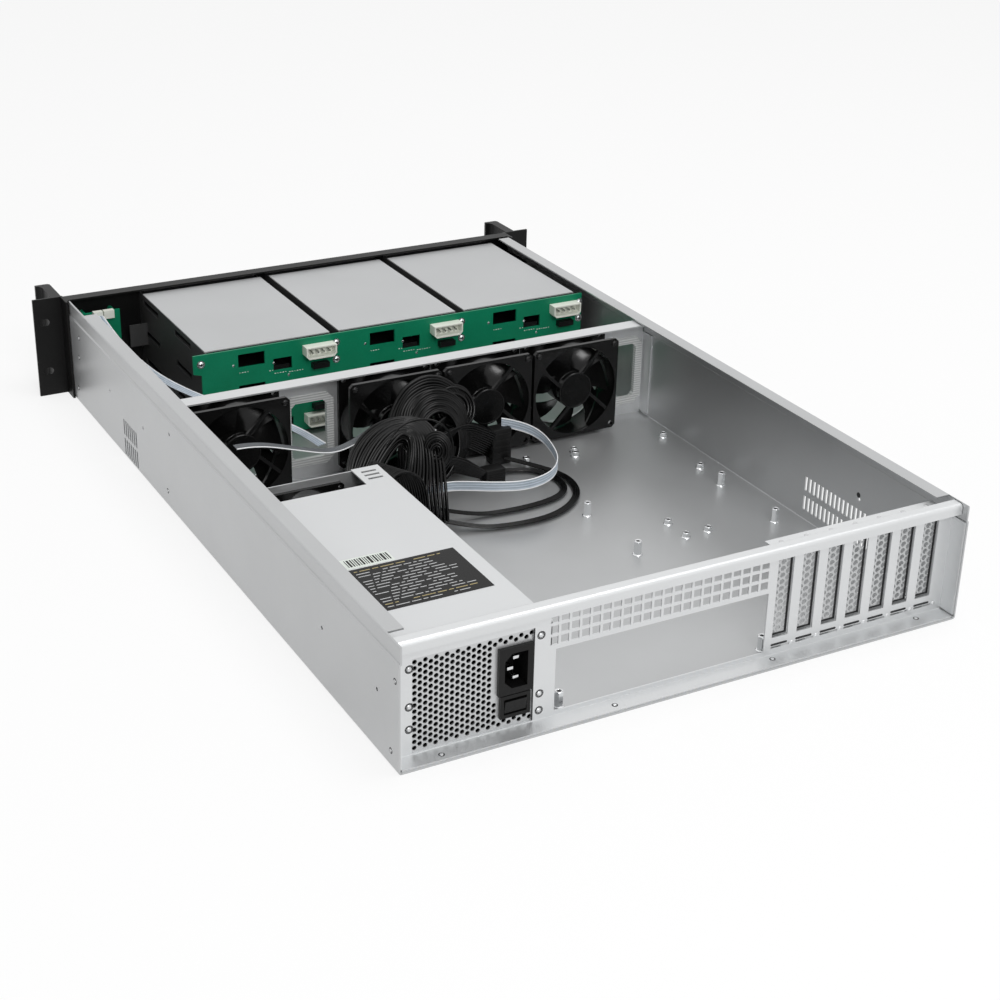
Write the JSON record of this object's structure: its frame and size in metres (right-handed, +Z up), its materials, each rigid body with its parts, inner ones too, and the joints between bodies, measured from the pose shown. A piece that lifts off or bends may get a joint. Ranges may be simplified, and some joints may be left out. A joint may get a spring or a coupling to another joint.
{
  "type": "empty rackmount server case",
  "caption": "Low, deep rack case without its lid, with a drive cage and sliding trays in front, a fan wall, a flat power supply and a bare board area behind.",
  "frame": {"origin": "middle of the underside of the case's floor", "axes": "+Z up, +Y from the front to the rear, +X towards the power supply's side"},
  "size_m": [0.4826, 0.7, 0.088],
  "materials": {
    "galvanised_steel": "galvanised sheet, satin",
    "black_paint": "fine-textured black powder coat",
    "black_plastic": "moulded, satin",
    "white_plastic": "moulded nylon",
    "green_board": "glass-fibre board with green resist",
    "cage_plate": "fine-grained zinc",
    "screw_steel": "bright zinc",
    "black_cable": "PVC-sleeved wires",
    "grey_ribbon": "flat ribbon wires",
    "trim_white": "edge trim",
    "psu_electronics": "board and parts",
    "button_black": "moulded"
  },
  "bodies": {
    "case": {"base_tray": "galvanised_steel", "rear_panel": "galvanised_steel", "slot_covers": "galvanised_steel", "standoffs": "screw_steel", "screws": "screw_steel", "front_panel": "black_paint", "ear_left": "black_paint", "ear_right": "black_paint", "fan_wall": "galvanised_steel", "window_trims": "trim_white", "fan_frame_1": "black_plastic", "fan_frame_2": "black_plastic", "fan_frame_3": "black_plastic", "fan_frame_4": "black_plastic", "drive_cage": "black_paint", "cage_tops": "cage_plate", "backplane": "green_board", "power_sockets": "white_plastic", "data_sockets": "black_plastic", "control_board": "green_board", "control_sockets": "white_plastic", "psu_case": "galvanised_steel", "psu_cover": "galvanised_steel", "psu_board": "psu_electronics", "psu_inlet": "black_plastic", "psu_fan_frame": "black_plastic", "harness_trunk": "black_cable", "harness_hank": "black_cable", "floor_cable_1": "black_cable", "floor_cable_2": "black_cable", "loop_ribbon": "grey_ribbon", "panel_ribbon": "grey_ribbon", "cage_ribbon": "grey_ribbon", "harness_plugs": "black_plastic"},
    "tray_1": {"tray_1": "black_plastic"},
    "tray_lever_1": {"tray_lever_1": "button_black"},
    "tray_2": {"tray_2": "black_plastic"},
    "tray_lever_2": {"tray_lever_2": "button_black"},
    "tray_3": {"tray_3": "black_plastic"},
    "tray_lever_3": {"tray_lever_3": "button_black"},
    "tray_4": {"tray_4": "black_plastic"},
    "tray_lever_4": {"tray_lever_4": "button_black"},
    "tray_5": {"tray_5": "black_plastic"},
    "tray_lever_5": {"tray_lever_5": "button_black"},
    "tray_6": {"tray_6": "black_plastic"},
    "tray_lever_6": {"tray_lever_6": "button_black"},
    "tray_7": {"tray_7": "black_plastic"},
    "tray_lever_7": {"tray_lever_7": "button_black"},
    "tray_8": {"tray_8": "black_plastic"},
    "tray_lever_8": {"tray_lever_8": "button_black"},
    "tray_9": {"tray_9": "black_plastic"},
    "tray_lever_9": {"tray_lever_9": "button_black"},
    "fan_rotor_1": {"fan_rotor_1": "black_plastic"},
    "fan_rotor_2": {"fan_rotor_2": "black_plastic"},
    "fan_rotor_3": {"fan_rotor_3": "black_plastic"},
    "fan_rotor_4": {"fan_rotor_4": "black_plastic"},
    "psu_fan_rotor": {"psu_fan_rotor": "black_plastic"},
    "psu_switch": {"psu_switch": "button_black"},
    "power_button": {"power_button": "button_black"},
    "reset_button": {"reset_button": "button_black"}
  },
  "joints": [
    {"name": "tray_1_slide", "type": "slide", "parent": "case", "child": "tray_1", "axis": [0, -1, 0], "range_m": [0, 0.16]},
    {"name": "tray_1_lever_hinge", "type": "hinge", "parent": "tray_1", "child": "tray_lever_1", "pos_m": [0.1306, -0.3361, 0.0192], "axis": [0, 0, 1], "range_deg": [0, 65]},
    {"name": "tray_2_slide", "type": "slide", "parent": "case", "child": "tray_2", "axis": [0, -1, 0], "range_m": [0, 0.16]},
    {"name": "tray_2_lever_hinge", "type": "hinge", "parent": "tray_2", "child": "tray_lever_2", "pos_m": [0.1306, -0.3361, 0.0462], "axis": [0, 0, 1], "range_deg": [0, 65]},
    {"name": "tray_3_slide", "type": "slide", "parent": "case", "child": "tray_3", "axis": [0, -1, 0], "range_m": [0, 0.16]},
    {"name": "tray_3_lever_hinge", "type": "hinge", "parent": "tray_3", "child": "tray_lever_3", "pos_m": [0.1306, -0.3361, 0.0732], "axis": [0, 0, 1], "range_deg": [0, 65]},
    {"name": "tray_4_slide", "type": "slide", "parent": "case", "child": "tray_4", "axis": [0, -1, 0], "range_m": [0, 0.16]},
    {"name": "tray_4_lever_hinge", "type": "hinge", "parent": "tray_4", "child": "tray_lever_4", "pos_m": [0.0133, -0.3361, 0.0192], "axis": [0, 0, 1], "range_deg": [0, 65]},
    {"name": "tray_5_slide", "type": "slide", "parent": "case", "child": "tray_5", "axis": [0, -1, 0], "range_m": [0, 0.16]},
    {"name": "tray_5_lever_hinge", "type": "hinge", "parent": "tray_5", "child": "tray_lever_5", "pos_m": [0.0133, -0.3361, 0.0462], "axis": [0, 0, 1], "range_deg": [0, 65]},
    {"name": "tray_6_slide", "type": "slide", "parent": "case", "child": "tray_6", "axis": [0, -1, 0], "range_m": [0, 0.16]},
    {"name": "tray_6_lever_hinge", "type": "hinge", "parent": "tray_6", "child": "tray_lever_6", "pos_m": [0.0133, -0.3361, 0.0732], "axis": [0, 0, 1], "range_deg": [0, 65]},
    {"name": "tray_7_slide", "type": "slide", "parent": "case", "child": "tray_7", "axis": [0, -1, 0], "range_m": [0, 0.16]},
    {"name": "tray_7_lever_hinge", "type": "hinge", "parent": "tray_7", "child": "tray_lever_7", "pos_m": [-0.104, -0.3361, 0.0192], "axis": [0, 0, 1], "range_deg": [0, 65]},
    {"name": "tray_8_slide", "type": "slide", "parent": "case", "child": "tray_8", "axis": [0, -1, 0], "range_m": [0, 0.16]},
    {"name": "tray_8_lever_hinge", "type": "hinge", "parent": "tray_8", "child": "tray_lever_8", "pos_m": [-0.104, -0.3361, 0.0462], "axis": [0, 0, 1], "range_deg": [0, 65]},
    {"name": "tray_9_slide", "type": "slide", "parent": "case", "child": "tray_9", "axis": [0, -1, 0], "range_m": [0, 0.16]},
    {"name": "tray_9_lever_hinge", "type": "hinge", "parent": "tray_9", "child": "tray_lever_9", "pos_m": [-0.104, -0.3361, 0.0732], "axis": [0, 0, 1], "range_deg": [0, 65]},
    {"name": "fan_1_spin", "type": "hinge", "parent": "case", "child": "fan_rotor_1", "pos_m": [0.1625, -0.07, 0.044], "axis": [0, 1, 0], "continuous": true},
    {"name": "fan_2_spin", "type": "hinge", "parent": "case", "child": "fan_rotor_2", "pos_m": [0.0325, -0.07, 0.044], "axis": [0, 1, 0], "continuous": true},
    {"name": "fan_3_spin", "type": "hinge", "parent": "case", "child": "fan_rotor_3", "pos_m": [-0.0496, -0.07, 0.044], "axis": [0, 1, 0], "continuous": true},
    {"name": "fan_4_spin", "type": "hinge", "parent": "case", "child": "fan_rotor_4", "pos_m": [-0.132, -0.07, 0.044], "axis": [0, 1, 0], "continuous": true},
    {"name": "psu_fan_spin", "type": "hinge", "parent": "case", "child": "psu_fan_rotor", "pos_m": [0.161, 0.07, 0.0346], "axis": [0, 1, 0], "continuous": true},
    {"name": "mains_switch_rock", "type": "hinge", "parent": "case", "child": "psu_switch", "pos_m": [0.1292, 0.31, 0.0186], "axis": [1, 0, 0], "range_deg": [0, 18]},
    {"name": "power_button_press", "type": "slide", "parent": "case", "child": "power_button", "axis": [0, 1, 0], "range_m": [0, 0.0015], "stiffness_N_per_m": 300},
    {"name": "reset_button_press", "type": "slide", "parent": "case", "child": "reset_button", "axis": [0, 1, 0], "range_m": [0, 0.0015], "stiffness_N_per_m": 300}
  ]
}
